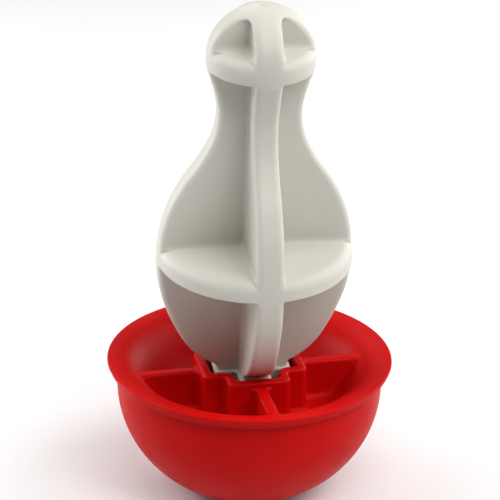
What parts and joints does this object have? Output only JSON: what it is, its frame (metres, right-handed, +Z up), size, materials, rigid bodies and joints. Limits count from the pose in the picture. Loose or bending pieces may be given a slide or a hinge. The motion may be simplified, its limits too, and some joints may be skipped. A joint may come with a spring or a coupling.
{
  "type": "pendulum drinking bowl",
  "caption": "Round red double-walled drinking bowl for poultry, refilled by a push valve under a loose skittle-shaped pendulum that the birds rock.",
  "frame": {"origin": "centre of the bowl's flat foot, on the surface it stands on", "axes": "+Z up along the bowl's axis; X and Y along the four arms of the socket; the pendulum leans towards -Y, turned 2.8 degrees clockwise from above"},
  "size_m": [0.18, 0.18, 0.3264],
  "materials": {
    "red_plastic": "satin moulded red plastic",
    "white_plastic": "satin moulded off-white plastic",
    "black_rubber": "matt moulded rubber",
    "ballast_iron": "as cast, painted grey",
    "stainless": "turned stainless steel",
    "brass": "turned brass",
    "acetal": "dark moulded acetal",
    "filter_nylon": "natural nylon"
  },
  "bodies": {
    "bowl": {"trough_dish": "red_plastic", "bottom_shell": "red_plastic", "rim_seal": "black_rubber", "ballast_ring": "ballast_iron", "ballast_screws": "stainless", "centre_stem": "brass", "foot_gasket": "black_rubber", "stem_gasket": "black_rubber", "nut_washer": "stainless", "lock_nut": "brass", "inlet_gasket": "black_rubber", "inlet_filter": "filter_nylon", "flow_restrictor": "acetal", "spring_seat": "stainless", "valve_spring": "stainless", "valve_seat": "brass", "seat_o_ring": "black_rubber", "pin_guide": "acetal", "guide_clip": "stainless"},
    "valve_pin": {"valve_pin": "stainless", "valve_seal": "black_rubber", "seal_washer": "stainless"},
    "rocker_ball": {"thrust_ball": "stainless"},
    "pendulum": {"pendulum": "white_plastic", "pivot_cup": "acetal"}
  },
  "joints": [
    {"name": "valve_press", "type": "slide", "parent": "bowl", "child": "valve_pin", "axis": [0, 0, -1], "range_m": [0, 0.0008], "stiffness_N_per_m": 3500, "springref_m": -0.004, "deforming": ["valve_spring"]},
    {"name": "pendulum_tilt_y", "type": "hinge", "parent": "valve_pin", "child": "rocker_ball", "pos_m": [0, 0, 0.064], "axis": [-0.9988, 0.0489, 0], "range_deg": [0, 10]},
    {"name": "pendulum_tilt_x", "type": "hinge", "parent": "rocker_ball", "child": "pendulum", "pos_m": [0, 0, 0.064], "axis": [0.0487, 0.995, 0.0872], "range_deg": [-5, 5]}
  ]
}
